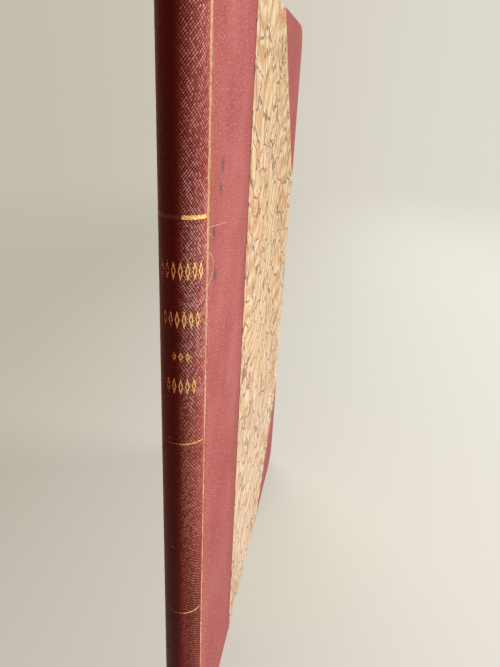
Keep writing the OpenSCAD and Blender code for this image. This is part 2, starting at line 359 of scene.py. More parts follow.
def make_spine_wear_and_painted_light():
    """The grained covering on the spine, with its glossy bead tops and worn spots; painted shade
    darkens its shaded side, its hollows and its tail end, a painted warm band lies where its lit
    side turns to shade, and a painted highlight lightens the bead tops on its lit side
    """
    w = new_effect("spine cloth wear and painted light")
    along, z, flat = spine_place(w)
    grain = w.use(BEAD_GRAIN, place=flat, fineness=1.06)
    soil = w.use(SOILING, blotches=42.0)
    far_up = w.step(z, 0.19, 0.225)
    w.colour = w.mix(grain["Tone"], (214, 92, 80), (240, 120, 108))
    # Painted shade: the side of the spine turned away from the window lamp is darkened to a deep
    # red-brown
    w.lay(w.fall(along, 0.0, 0.0034, 0.95), (176, 34, 14))
    w.lay(w.step(soil["Cloud"], 0.4, 0.72, 0.0, 0.5), (134, 44, 34))
    # Painted shade: the spine cloth is darker towards the tail
    lower = w.step(z, 0.045, 0.16)
    w.lay(w.fall(lower, 0.0, 1.0, 0.9), (116, 46, 36))
    # Painted light: a warm orange-red band where the lit side of the spine turns into its shaded
    # side
    turn = w.times(w.step(along, -0.0014, 0.0006), w.fall(along, 0.0012, 0.0032))
    w.lay(turn, (240, 78, 56), 0.7)
    # Painted shade in the hollows between the beads, less of it near the head
    hollow = w.fall(grain["Height"], 0.12, 0.44, 0.62)
    w.lay(w.times(hollow, w.step(far_up, 0.0, 1.0, 1.0, 0.6)), (146, 36, 34))
    # Painted highlight: the bead tops on the lit side take a pale pink tint, palest high up and more
    # orange towards the shaded side and the tail; the same mask also sets the coat of the tops
    polish_and_highlight = w.step(w.noise(75, 4.0, 0.6), 0.36, 0.6, 0.7, 1.0)
    for part in (
        w.step(grain["Tone"], 0.1, 0.7, 0.4, 1.0),
        w.step(far_up, 0.0, 1.0, 1.0, 0.75),
        w.step(along, -0.0008, 0.0018),
        w.step(lower, 0.0, 1.0, 0.3, 1.0),
    ):
        polish_and_highlight = w.times(polish_and_highlight, part)
    rosy_highlight = w.mix(w.step(z, 0.185, 0.205), (255, 200, 192), (255, 176, 160))
    rosy_highlight = w.mix(w.fall(z, 0.125, 0.165), rosy_highlight, (230, 150, 122))
    highlight_tint = w.mix(w.step(along, 0.0003, 0.0024), (255, 156, 124), rosy_highlight)
    w.lay(w.times(grain["Tops"], polish_and_highlight), highlight_tint)
    worn = [
        (0.0011, -0.0046, 0.2028, 0.0013),
        (0.0013, -0.0046, 0.1991, 0.0016),
        (0.0009, -0.0046, 0.2062, 0.001),
        (0.0041, -0.0029, 0.1985, 0.0009),
        (0.0006, -0.0047, 0.0740, 0.0007),
    ]
    rubbed = w.times(spots(w, 0.5, *worn), w.step(grain["Height"], 0.25, 0.6))
    from_end = w.least(z, w.minus(BOOK_H, z))
    ragged = w.times(w.noise(900, 4.0, 0.7), 0.0021)
    fray = w.fall(w.minus(from_end, ragged), -0.0008, 0.0002, 0.45)
    w.lay(w.most(rubbed, fray), (236, 124, 76))
    specks = [(-0.00254, -0.0041, 0.1318, 0.00026), (-0.00167, -0.00445, 0.0958, 0.0003)]
    w.lay(spots(w, 0.5, *specks), (255, 220, 190))
    rare = w.step(w.noise(90), 0.55, 0.7, 0.0, 0.45)
    w.lay(w.times(soil["Speck"], rare), (206, 190, 176))
    gloss = w.step(grain["Height"], 0.2, 0.9, 0.62, 0.36)
    handled = w.step(along, -0.0004, 0.0016, 0.04, 1.0)
    handled = w.times(w.times(grain["Tops"], handled), polish_and_highlight)
    return w.results(Colour=w.colour, Height=grain["Height"], Gloss=gloss, Handled=handled)


BEAD_GRAIN = make_bead_grain()
SOILING = make_soiling()
RUBBED_EDGES = make_rubbed_edges()
PAPER_FIBRE = make_paper_fibre()
SPINE_WEAR_AND_PAINTED_LIGHT = make_spine_wear_and_painted_light()


# Finishes


def coat_tops(w, weight):
    """The shine that handling gives to the tops of the beads"""
    w.give("Coat Weight", weight)
    w.give("Coat Roughness", 0.3)
    w.give("Coat IOR", 2.4)


def make_spine_cloth():
    """Red leathercloth of the spine: pressed beads with glossy tops, and the painted light and shade
    of its colour
    """
    w = new_finish("spine cloth", shine=0.12)
    cloth = w.use(SPINE_WEAR_AND_PAINTED_LIGHT)
    w.colour = cloth["Colour"]
    w.give("Roughness", cloth["Gloss"])
    coat_tops(w, cloth["Handled"])
    swell = w.bump(w.noise(120, 3.0), 0.0005, 0.5)
    return w.finish(w.bump(cloth["Height"], 0.00016, 1.0, swell))


def make_cover_cloth():
    """Red leathercloth of the laps and corners: flatter grain, a dusty film, painted shade towards
    the tail, in the hollows and beside the marbled paper, a painted highlight on the bead tops,
    scuffs
    """
    w = new_finish("cover cloth", shine=0.2)
    flat = cover_place(w)
    grain = w.use(BEAD_GRAIN, place=flat, fineness=1.05)
    soil = w.use(SOILING, blotches=26.0)
    rubbed = w.use(RUBBED_EDGES, width=0.0008)["Rubbed"]
    w.colour = w.mix(w.step(soil["Cloud"], 0.3, 0.7), (192, 90, 90), (218, 116, 112))
    y, z = w.split()[1:]
    # Painted shade: the cloth is darker towards the tail
    w.lay(w.fall(z, 0.02, 0.17, 0.8), (170, 78, 78))
    w.lay(w.fall(y, JOINT_Y, JOINT_Y + 0.012, 0.5), (206, 112, 92))
    # Painted shadow: the cloth darkens towards the edge of the marbled paper that lies over it
    w.lay(w.step(y, JOINT_Y + LAP_W - 0.014, JOINT_Y + LAP_W, 0.0, 0.6), (166, 76, 72))
    # Painted shade in the hollows of the grain
    w.lay(w.fall(grain["Height"], 0.1, 0.7, 0.42), (150, 58, 56))
    # Dust and painted highlight: pale streaks on the bead tops, and pale flecks
    streaks = w.scaled((420, 90, 1), angle=(0, 0, math.radians(-30)), at=flat)
    dust_and_highlight = w.noise(1.0, 4.0, 0.7, at=streaks)
    dust_and_highlight = w.times(w.step(dust_and_highlight, 0.5, 0.8), grain["Tops"])
    flecks = w.step(w.noise(1700, 2.0, 0.6, at=flat), 0.55, 0.68, 0.0, 0.8)
    dust_and_highlight = w.most(w.times(dust_and_highlight, 0.75), flecks)
    w.lay(dust_and_highlight, (240, 176, 174))
    front_scuffs = [
        (JOINT_X, 0.0123, 0.1966, 0.0026),
        (JOINT_X, 0.0108, 0.1916, 0.0021),
        (JOINT_X, 0.0049, 0.1825, 0.0022),
        (JOINT_X, 0.0069, 0.1719, 0.0025),
    ]
    back_scuffs = [(-JOINT_X, 0.0210, 0.1320, 0.0016), (-JOINT_X, 0.0330, 0.0710, 0.0011)]
    scuffs = w.most(spots(w, 0.3, *front_scuffs), spots(w, 0.2, *back_scuffs))
    w.lay(w.step(y, JOINT_Y + 0.07, JOINT_Y + 0.09, 0.0, 0.45), (162, 80, 76))
    w.lay(scuffs, (118, 84, 82), 0.9)
    w.lay(soil["Speck"], (96, 40, 40), 0.4)
    w.lay(rubbed, (216, 140, 108), 0.85)
    w.give("Roughness", w.step(soil["Cloud"], 0.3, 0.7, 0.66, 0.52))
    swell = w.bump(w.noise(60, 3.0), 0.0006, 0.35)
    return w.finish(w.bump(grain["Height"], 0.00006, 0.9, swell))


def make_joint_cloth():
    """Covering worn through along the joint: red flanks and a crest of bare cream threads"""
    w = new_finish("worn joint cloth", rough=0.8, shine=0.25)
    x, y, z = w.split()
    side = w.minus(w.math("ABSOLUTE", x), JOINT_X - 0.00005)
    back = w.minus(y, JOINT_Y - 0.00025)
    away = w.vector("LENGTH", w.join(side, back, 0.0))
    ragged = w.noise(1900, 4.0, 0.75, at=w.scaled((1, 1, 0.45)))
    worn_here = w.noise(60, 3.0, 0.6, at=w.join(0.0, 0.0, z))
    reach = w.step(z, 0.14, 0.19, 0.0003, 0.00044)
    reach = w.times(w.step(worn_here, 0.3, 0.7, 0.7, 1.2), reach)
    edge = w.times(w.minus(ragged, 0.5), 0.0009)
    gap = w.minus(w.plus(away, edge), reach)
    bare = w.fall(gap, -0.00008, 0.00008)
    core = w.fall(gap, -0.00024, -0.00004)
    weft = w.noise(1900, 3.0, 0.65, at=w.scaled((0.5, 0.5, 1.4)))
    core = w.times(core, w.step(weft, 0.36, 0.5, 0.4, 1.0))
    upper = w.step(z, 0.15, 0.19)
    flank = w.mix(upper, (228, 138, 114), (242, 148, 104))
    crest = w.mix(upper, (255, 222, 200), (255, 202, 152))
    threads = w.mix(core, flank, crest)
    bright = w.step(w.noise(1700, 3.0, 0.7), 0.52, 0.64)
    threads = w.mix(w.times(bright, core), threads, (255, 242, 218))
    red = w.mix(w.noise(500, 3.0), (168, 70, 58), (192, 92, 76))
    cloth = w.use(SPINE_WEAR_AND_PAINTED_LIGHT)
    red = w.mix(w.fall(y, JOINT_Y - 0.0003, JOINT_Y - 0.0001), red, cloth["Colour"])
    w.colour = w.mix(bare, red, threads)
    height = w.plus(w.times(weft, bare), ragged)
    return w.finish(w.bump(height, 0.00002, 0.6))


def make_bare_thread():
    """Cotton fibres that stand loose of the worn cloth"""
    w = new_finish("bare thread", rough=0.85, shine=0.2)
    w.give("Sheen Weight", 0.3)
    w.give("Subsurface Weight", 0.7)
    w.give("Subsurface Scale", 0.0005)
    w.give("Subsurface Radius", (1.0, 0.9, 0.8))
    tone = w.noise(1500, 3.0, 0.6)
    w.colour = w.mix(w.step(tone, 0.35, 0.65), (246, 166, 126), (255, 226, 196))
    twist = w.noise(6000, 2.0, at=w.scaled((1, 1, 3)))
    return w.finish(w.bump(twist, 0.00001, 0.5))


def make_marbled_paper():
    """Marbled paper: peach ground in soft waves, a net of thin brown veins, pale droplets"""
    w = new_finish("marbled paper", shine=0.12)
    drawn = w.warped(42, 0.02, 3.0)
    drawn = w.warped(210, 0.0042, 3.0, at=drawn)
    net = w.cells(96, "DISTANCE_TO_EDGE", at=drawn)["Distance"]
    pulse = w.noise(62, 4.0, 0.62)
    width = w.step(pulse, 0.3, 0.68, 0.01, 0.048)
    vein = w.fall(w.minus(net, width), -0.006, 0.024)
    vein = w.times(vein, w.step(pulse, 0.28, 0.4, 0.35, 1.0))
    z = w.split()[2]
    vein = w.times(vein, w.step(z, 0.05, 0.16, 0.75, 1.0))
    second = w.warped(130, 0.006, at=w.vector("ADD", drawn, (0.03, 0.07, 0.05)))
    fine_net = w.cells(150, "DISTANCE_TO_EDGE", at=second)["Distance"]
    fine_there = w.noise(55, 3.0)
    fine_width = w.step(fine_there, 0.44, 0.68, 0.0, 0.045)
    fine_vein = w.fall(w.minus(fine_net, fine_width), -0.008, 0.022)
    fine_vein = w.times(fine_vein, w.step(fine_there, 0.44, 0.54))
    flow = w.noise(13, 1.2, at=w.warped(60, 0.006))
    across = w.vector("DOT_PRODUCT", w.place, (0, -330, 560))
    phase = w.plus(w.times(flow, 88.0), across)
    waves = w.math("SINE", w.math("MULTIPLY_ADD", net, 2.0, phase))
    waved = w.step(w.noise(24, 2.0), 0.36, 0.56, 0.35, 1.0)
    crests = w.times(w.step(waves, 0.15, 1.0), waved)
    troughs = w.times(w.fall(waves, -1.0, -0.1), waved)
    wide = w.step(w.noise(30, 4.0, 0.6), 0.36, 0.64)
    yellow = w.step(w.noise(34, 3.0, at=w.vector("ADD", w.place, (0.2, 0, 0))), 0.52, 0.66)
    w.colour = w.mix(wide, (250, 216, 166), (244, 192, 144))
    w.lay(w.fall(z, 0.06, 0.15, 0.8), (238, 208, 184))
    w.lay(w.times(yellow, w.step(z, 0.06, 0.15, 0.1, 0.5)), (240, 204, 128))
    w.lay(troughs, (214, 154, 108), 0.6)
    w.lay(crests, (255, 238, 202), 0.8)
    halo = w.times(w.step(net, 0.03, 0.07), w.fall(net, 0.08, 0.16))
    halo = w.times(halo, w.step(pulse, 0.42, 0.6))
    w.lay(halo, (254, 242, 212), 0.7)
    dabs = w.cells(330, at=w.warped(300, 0.004))
    near_vein = w.fall(net, 0.05, 0.2)
    dab_there = w.times(w.step(w.noise(48, 2.0), 0.5, 0.6), near_vein)
    dab = w.times(w.fall(dabs["Distance"], 0.12, 0.26), dab_there)
    dab_tone = w.mix(w.split(dabs["Color"])[1], (182, 194, 180), (255, 244, 216))
    w.lay(dab, dab_tone, 0.75)
    ink = w.mix(w.noise(240, 3.0), (172, 114, 76), (134, 86, 64))
    patch = w.times(w.fall(net, 0.03, 0.13), w.step(pulse, 0.56, 0.68))
    patch = w.times(patch, w.step(w.noise(520, 4.0, 0.7), 0.4, 0.6))
    w.lay(patch, (160, 112, 88), 0.55)
    w.lay(fine_vein, (168, 114, 82), 0.6)
    w.lay(vein, ink, 0.85)
    soil = w.use(SOILING, blotches=22.0)
    w.lay(soil["Blotch"], (176, 140, 110), 0.2)
    rubbed = w.use(RUBBED_EDGES, width=0.0007)["Rubbed"]
    w.lay(rubbed, (226, 208, 182), 0.75)
    w.give("Roughness", w.step(soil["Cloud"], 0.3, 0.7, 0.58, 0.44))
    fibre = w.use(PAPER_FIBRE)
    swell = w.bump(w.noise(45, 2.0), 0.0008, 0.3)
    raised = w.math("MULTIPLY_ADD", vein, 0.3, fibre["Height"])
    return w.finish(w.bump(raised, 0.00004, 0.6, swell))


def make_leaf_paper():
    """Edges of the leaves: each leaf a little lighter or darker, dust at the head"""
    w = new_finish("leaf paper", rough=0.85, shine=0.2)
    leaf = w.noise(1.0, 2.0, 0.6, at=w.scaled((9500, 20, 12)))
    section = w.noise(1.0, 1.0, at=w.scaled((1300, 10, 6)))
    w.colour = w.mix(w.step(leaf, 0.3, 0.7), (205, 184, 146), (240, 224, 190))
    w.lay(w.step(section, 0.45, 0.6, 0.0, 0.35), (190, 164, 122))
    soil = w.use(SOILING, blotches=60.0)
    dusty = w.step(w.split()[2], PAGES_HEAD - 0.004, PAGES_HEAD, 0.0, 0.35)
    w.lay(w.most(dusty, w.times(soil["Blotch"], 0.3)), (158, 134, 100))
    w.lay(soil["Speck"], (140, 100, 64), 0.6)
    return w.finish(w.bump(leaf, 0.00012, 0.9))


def make_endpaper():
    """Old wove paper of the flyleaves and pastedowns: browned margins and foxing"""
    w = new_finish("endpaper", rough=0.8, shine=0.25)
    y, z = w.split()[1:]
    fibre = w.use(PAPER_FIBRE)
    soil = w.use(SOILING, blotches=18.0)
    w.colour = w.mix(fibre["Tone"], (222, 206, 172), (236, 222, 192))
    w.lay(soil["Cloud"], (214, 190, 150), 0.35)
    from_end = w.least(z, w.minus(BOOK_H, z))
    from_rim = w.least(from_end, w.minus(FORE_Y, y))
    margin = w.plus(from_rim, w.times(soil["Cloud"], 0.012))
    w.lay(w.fall(margin, 0.006, 0.024, 0.55), (196, 164, 118))
    w.lay(w.fall(w.minus(y, JOINT_Y), 0.0, 0.014, 0.45), (190, 160, 118))
    foxing = w.cells(95, at=w.warped(500, 0.003, 4.0))
    size = w.times(w.split(foxing["Color"])[0], 0.16)
    fox = w.fall(w.minus(foxing["Distance"], size), -0.03, 0.03)
    fox = w.times(fox, w.step(w.noise(26, 3.0), 0.5, 0.66, 0.0, 0.5))
    w.lay(fox, (176, 122, 72))
    cockle = w.bump(w.noise(35, 2.0), 0.001, 0.3)
    return w.finish(w.bump(fibre["Height"], 0.00003, 0.7, cockle))


def make_pasteboard():
    """Grey-brown board of pasted sheets, with its layers along the edge"""
    w = new_finish("pasteboard", rough=0.9, shine=0.2)
    layer = w.noise(1.0, 3.0, 0.6, at=w.scaled((6000, 40, 40)))
    w.colour = w.mix(layer, (128, 108, 82), (176, 154, 122))
    flecks = w.cells(700)["Distance"]
    w.lay(w.fall(flecks, 0.1, 0.2, 0.5), (90, 72, 54))
    fibre = w.use(PAPER_FIBRE)
    return w.finish(w.bump(w.plus(layer, fibre["Height"]), 0.00008, 0.8))


def make_lining_paper():
    """Coarse brown wrapping paper inside the spine"""
    w = new_finish("lining paper", rough=0.85, shine=0.2)
    fibre = w.use(PAPER_FIBRE)
    soil = w.use(SOILING, blotches=50.0)
    w.colour = w.mix(fibre["Tone"], (176, 144, 104), (200, 172, 130))
    w.lay(soil["Blotch"], (128, 94, 60), 0.5)
    return w.finish(w.bump(fibre["Height"], 0.00006, 0.9))


def make_mull():
    """Open-weave cotton, stiff with old paste: crossing threads over amber glue"""
    w = new_finish("mull", rough=0.85, shine=0.25)
    drawn = w.warped(150, 0.0006)
    threads = []
    for direction, scale in (("Y", 230.0), ("Z", 210.0)):
        wave = w.node("TexWave", {"Vector": drawn, "Scale": scale}, bands_direction=direction)
        threads.append(wave.outputs["Fac"])
    thread = w.most(*threads)
    w.colour = w.mix(w.step(thread, 0.55, 0.85), (172, 136, 86), (228, 218, 192))
    return w.finish(w.bump(thread, 0.0001, 0.8))


def make_band_silk(name, low, high):
    """Thread of the worked head and tail bands, in one of their two colours"""
    w = new_finish(name)
    w.give("Sheen Weight", 0.2)
    tone = w.noise(2200, 3.0, 0.6)
    w.colour = w.mix(tone, low, high)
    soil = w.use(SOILING, blotches=120.0)
    w.lay(soil["Blotch"], (110, 84, 60), 0.4)
    twist = w.noise(7000, 2.0, at=w.scaled((2, 1, 0.5)))
    return w.finish(w.bump(twist, 0.00004, 0.8))


def make_gilt(name, kept_left, kept_right, start=-0.004, end=0.0035, rough=0.62):
    """Gold film that the grain breaks up: more of it is left towards the front joint"""
    w = new_finish(name)
    cloth = w.use(SPINE_WEAR_AND_PAINTED_LIGHT)
    along = spine_place(w)[0]
    kept = w.step(along, start, end, kept_left, kept_right)
    chips = w.noise(1100, 4.0, 0.65)
    wear = w.math("MULTIPLY_ADD", cloth["Height"], 0.35, w.times(chips, 0.9))
    left = w.step(w.plus(wear, kept), 0.98, 1.12)
    creases = w.noise(1700, 3.0, 0.6)
    glint = w.step(creases, 0.42, 0.58)
    gold = w.mix(glint, (252, 186, 100), (255, 230, 158))
    # Painted shade: on the spine's shaded side the gold takes a redder, duller tint
    gold = w.mix(w.fall(along, -0.0015, 0.0028), gold, (240, 152, 96))
    w.colour = w.mix(left, cloth["Colour"], gold)
    w.give("Metallic", w.times(left, 0.95))
    w.give("Roughness", w.step(left, 0.0, 1.0, cloth["Gloss"], rough))
    coat_tops(w, w.times(w.minus(1.0, left), cloth["Handled"]))
    crumpled = w.bump(w.times(creases, left), 0.0002, 1.0)
    return w.finish(w.bump(cloth["Height"], 0.0001, 0.9, crumpled))


SPINE_CLOTH = make_spine_cloth()
COVER_CLOTH = make_cover_cloth()
JOINT_CLOTH = make_joint_cloth()
BARE_THREAD = make_bare_thread()
MARBLED_PAPER = make_marbled_paper()
LEAF_PAPER = make_leaf_paper()
ENDPAPER = make_endpaper()
PASTEBOARD = make_pasteboard()
LINING_PAPER = make_lining_paper()
MULL = make_mull()
RED_SILK = make_band_silk("red band thread", (136, 40, 38), (178, 66, 58))
CREAM_SILK = make_band_silk("cream band thread", (206, 186, 146), (236, 222, 188))
UPPER_GILT = make_gilt("upper fillet gilt", 0.08, 0.7, 0.0007, 0.0012, 0.5)
THIN_GILT = make_gilt("thin fillet gilt", 0.22, 0.62)
ROW_GILT = make_gilt("ornament gilt", 0.4, 1.0)


# Modelling helpers


def pick_nothing():
    bpy.ops.object.select_all(action="DESELECT")


def alone(piece):
    """Selects one piece and makes it the active one"""
    pick_nothing()
    piece.select_set(True)
    bpy.context.view_layer.objects.active = piece


def new_piece(name):
    """Names the piece that was just made and fixes its place in its mesh"""
    piece = bpy.context.object
    piece.name = name
    piece.data.name = name
    bpy.ops.object.transform_apply(location=True, rotation=True, scale=True)
    return piece


def new_sheet(name):
    """A square of one metre at the origin, open for its points to be drawn out"""
    pick_nothing()
    bpy.ops.mesh.primitive_plane_add(size=1, location=(0, 0, 0))
    piece = new_piece(name)
    start_shaping(piece)
    return piece


def copy_of(pattern):
    made = pattern.copy()
    made.data = pattern.data.copy()
    bpy.context.collection.objects.link(made)
    return made


def start_shaping(piece):
    alone(piece)
    bpy.ops.object.mode_set(mode="EDIT")


def end_shaping():
    bpy.ops.object.mode_set(mode="OBJECT")


def pick(piece, kind, wanted):
    """Selects the faces, edges or points that pass the test, in edit mode"""
    bpy.ops.mesh.select_mode(type=kind)
    bpy.ops.mesh.select_all(action="DESELECT")
    shape = bmesh.from_edit_mesh(piece.data)
    parts = {"FACE": shape.faces, "EDGE": shape.edges, "VERT": shape.verts}[kind]
    for part in parts:
        if wanted(part):
            part.select_set(True)
    bmesh.update_edit_mesh(piece.data)


def pick_all():
    bpy.ops.mesh.select_all(action="SELECT")


def middle(edge):
    return (edge.verts[0].co + edge.verts[1].co) / 2


def rise(edge):
    return abs(edge.verts[0].co.z - edge.verts[1].co.z)


def draw_out(reach):
    """Draws the picked points out into new ones"""
    bpy.ops.mesh.extrude_vertices_move(TRANSFORM_OT_translate={"value": reach})


def delete(kind):
    bpy.ops.mesh.delete(type=kind)


def bevel(offset, segments, affect="EDGES"):
    bpy.ops.mesh.bevel(offset=offset, segments=segments, affect=affect)


def score(point, direction, clear=False):
    """Cuts an edge line round the piece; with clear, what lies on that side goes"""
    pick_all()
    bpy.ops.mesh.bisect(plane_co=point, plane_no=direction, clear_outer=clear)


def apply_last(piece):
    """Makes the piece's last modifier part of its mesh"""
    alone(piece)
    bpy.ops.object.modifier_apply(modifier=piece.modifiers[-1].name)


def thicken(piece, thickness, even=True):
    """Gives a sheet its thickness, inwards from the face that shows"""
    wall = piece.modifiers.new("thickness", "SOLIDIFY")
    wall.thickness = thickness
    wall.offset = -1.0
    wall.use_even_offset = even
    apply_last(piece)


def smooth(piece, degrees=35):
    alone(piece)
    bpy.ops.object.shade_smooth_by_angle(angle=math.radians(degrees))


def coat(piece, *materials):
    piece.data.materials.clear()
    for material in materials:
        piece.data.materials.append(material)


def dress(piece, material, body, slot, *nodes):
    """Gives a piece its finish, its body and the nodes that it stands for; the slot argument is not
    used
    """
    coat(piece, material)
    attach(piece, body)
    if nodes:
        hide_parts(*nodes)


def dress_joint(piece, material):
    """Gives a piece over a joint its finish, and fixes its place in its mesh"""
    coat(piece, material)
    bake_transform(piece)


def finish_node(node, material):
    """Gives a node of the model its finish"""
    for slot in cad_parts[node].material_slots:
        slot.material = material


# Covering of the boards


def covered_board(name, side, grown, rounding):
    """A board grown by its covering, with rounded corners and edges, open at the joint"""
    x_in = BOARD_IN_X - grown
    x_out = BOARD_OUT_X + grown
    y_back = JOINT_Y + JOINT_EDGE
    y_fore = FORE_Y - SKIN_T + grown
    z_tail = SKIN_T - grown
    z_head = BOOK_H - SKIN_T + grown
    pick_nothing()
    bpy.ops.mesh.primitive_cube_add(
        size=1,
        location=(side * (x_in + x_out) / 2, (y_back + y_fore) / 2, (z_tail + z_head) / 2),
        scale=(x_out - x_in, y_fore - y_back, z_head - z_tail),
    )
    piece = new_piece(name)
    start_shaping(piece)

    def fore_corner(edge):
        level = abs(edge.verts[0].co.x - edge.verts[1].co.x) > 1 * MM
        return level and middle(edge).y > 0

    pick(piece, "EDGE", fore_corner)
    bevel(BOARD_CORNER_R + grown, 8)

    def arris(edge):
        faces = edge.link_faces
        facing_back = any(face.normal.y < -0.9 for face in faces)
        broad = [face for face in faces if abs(face.normal.x) > 0.9]
        return len(broad) == 1 and not facing_back

    pick(piece, "EDGE", arris)
    bevel(rounding, 3)
    pick(piece, "FACE", lambda face: face.normal.y < -0.9)
    delete("FACE")
    score((0, FORE_Y - TURN_IN, 0), (0, 1, 0))
    score((0, 0, TURN_IN), (0, 0, 1))
    score((0, 0, BOOK_H - TURN_IN), (0, 0, 1))

    def bare(face):
        at = face.calc_center_median()
        inside = at.y < FORE_Y - TURN_IN and TURN_IN < at.z < BOOK_H - TURN_IN
        return inside and face.normal.x * side < -0.9

    pick(piece, "FACE", bare)
    delete("FACE")
    return piece


def slant(leg, reach, at_head):
    """A point and the outward direction of the line across a corner, moved inwards by reach"""
    up = 1 if at_head else -1
    end = BOOK_H if at_head else 0
    point = Vector((0, FORE_Y - leg, end))
    direction = Vector((0, 1, up)).normalized()
    return point - direction * reach, direction


def make_lap(side, body, word):
    """The part of the spine's covering that lies on a board"""
    piece = covered_board(word + "_lap_cloth", side, CLOTH_T, CLOTH_ROUNDING)
    score((0, JOINT_Y + LAP_W + PAPER_OVERLAP, 0), (0, 1, 0), clear=True)
    end_shaping()
    thicken(piece, CLOTH_T)
    smooth(piece)
    dress(piece, COVER_CLOTH, body, "red_leathercloth", word + "_lap")


def make_corner(side, body, word, at_head):
    """A corner piece, wrapped round the two edges of its board"""
    end = "head" if at_head else "tail"
    leg = CORNER_HEAD_LEG if at_head else CORNER_TAIL_LEG
    piece = covered_board(word + "_corner_cloth_" + end, side, CLOTH_T, CLOTH_ROUNDING)
    point, direction = slant(leg, PAPER_OVERLAP, at_head)
    score(point, -direction, clear=True)
    end_shaping()
    thicken(piece, CLOTH_T)
    smooth(piece)
    dress(piece, COVER_CLOTH, body, "red_leathercloth", word + "_corner_" + end)


def make_side_paper(side, body, word):
    """Marbled paper of a board: it climbs over the edges of the cloth"""
    piece = covered_board(word + "_marbled_side", side, PAPER_T, PAPER_ROUNDING)
    ramp = 0.45 * MM
    lap_edge = JOINT_Y + LAP_W
    score((0, lap_edge, 0), (0, -1, 0), clear=True)
    lines = [(CORNER_HEAD_LEG, True), (CORNER_TAIL_LEG, False)]
    for leg, at_head in lines:
        point, direction = slant(leg, 0, at_head)
        score(point, direction, clear=True)
    for reach in (PAPER_OVERLAP, PAPER_OVERLAP + ramp):
        score((0, lap_edge + reach, 0), (0, 1, 0))
        for leg, at_head in lines:
            score(*slant(leg, reach, at_head))

    def over_cloth(face):
        at = face.calc_center_median()
        if at.y < lap_edge + PAPER_OVERLAP:
            return True
        for leg, at_head in lines:
            point, direction = slant(leg, PAPER_OVERLAP, at_head)
            if (at - point).dot(direction) > 0:
                return True
        return False

    pick(piece, "FACE", over_cloth)
    bpy.ops.transform.shrink_fatten(value=CLOTH_T, use_even_offset=True)
    end_shaping()
    thicken(piece, PAPER_T)
    smooth(piece, 50)
    dress(piece, MARBLED_PAPER, body, "marbled_paper", word + "_side_paper")


# Covering of the spine


def make_spine_cover():
    """Covering of the spine: one sheet, rounded, turned in over both ends"""
    out = Vector((-math.sin(SPINE_ANGLE), -math.cos(SPINE_ANGLE), 0))
    axis = Vector((0, SPINE_Y, 0))
    tail = PAPER_T
    head = BOOK_H - PAPER_T
    piece = new_sheet("spine_leathercloth")
    pick(piece, "VERT", lambda vert: vert.co.x < 0)
    delete("VERT")
    shape = bmesh.from_edit_mesh(piece.data)
    ends = sorted(shape.verts, key=lambda vert: vert.co.y)
    ends[0].co = axis + out * SPINE_R + Vector((0, 0, tail))
    ends[1].co = axis + out * SPINE_R + Vector((0, 0, head))
    bmesh.update_edit_mesh(piece.data)
    inwards = -out * (SPINE_R - SPINE_TURN_R)
    for level, back in ((tail, TURN_IN - PAPER_T), (head, PAPER_T - TURN_IN)):
        pick(piece, "VERT", lambda vert: abs(vert.co.z - level) < CLOSE)
        draw_out(inwards)
        draw_out((0, 0, back))
    pick(piece, "VERT", lambda vert: min(abs(vert.co.z - tail), abs(vert.co.z - head)) < CLOSE)
    bevel(0.5 * MM, 4, "VERTICES")
    pick(piece, "EDGE", lambda edge: rise(edge) > 0.2)
    bpy.ops.mesh.subdivide(number_cuts=99)
    pick_all()
    bpy.ops.mesh.spin(steps=40, angle=-2 * SPINE_ANGLE, center=axis, axis=(0, 0, 1))
    pick_all()
    bpy.ops.mesh.remove_doubles(threshold=0.001 * MM)
    bpy.ops.mesh.normals_make_consistent(inside=False)
    end_shaping()
    faces = [face for face in piece.data.polygons if 0.05 < face.center.z < 0.19]
    if sum(face.normal.dot(face.center - axis) for face in faces) < 0:
        piece.data.flip_normals()
    uneven = piece.modifiers.new("uneven", "DISPLACE")
    cloud = bpy.data.textures.new("handling", "CLOUDS")
    cloud.noise_scale = 0.011
    uneven.texture = cloud
    uneven.texture_coords = "LOCAL"
    uneven.strength = 0.1 * MM
    uneven.mid_level = 0.5
    apply_last(piece)
    thicken(piece, CLOTH_T, even=False)
    smooth(piece, 50)
    dress(piece, SPINE_CLOTH, "root", "red_leathercloth", "spine_covering")


